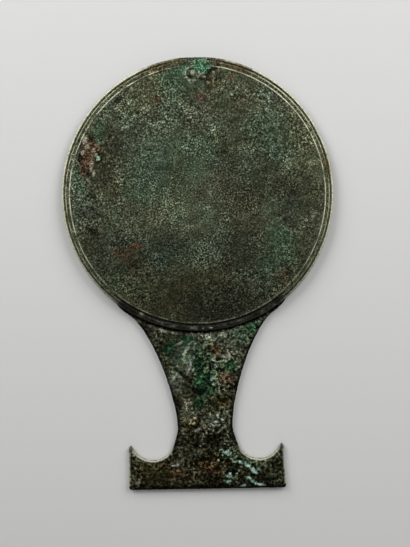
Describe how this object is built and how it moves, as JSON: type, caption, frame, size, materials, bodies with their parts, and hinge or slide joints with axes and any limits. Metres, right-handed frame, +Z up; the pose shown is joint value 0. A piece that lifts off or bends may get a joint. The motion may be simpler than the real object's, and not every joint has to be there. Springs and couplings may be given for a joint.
{
  "type": "etruscan hand mirror",
  "caption": "Bronze hand mirror with a round moulded disc soldered to a flat waisted handle, whose broad foot has a round notch on each side.",
  "frame": {"origin": "on the surface that the mirror lies on, under the middle of its length and width", "axes": "+Z up, out of the mirror's face; +Y from the foot of the handle to the top of the disc; +X to the right, seen from above with the disc at the top"},
  "size_m": [0.12, 0.194, 0.0047],
  "materials": {
    "disc_bronze": "fine-grained olive green patina, with malachite, teal and rust brown patches",
    "handle_bronze": "coarse dark olive patina, with green, pale turquoise and rust brown crusts"
  },
  "bodies": {
    "root": {"disc": "disc_bronze", "handle": "handle_bronze"}
  },
  "joints": []
}
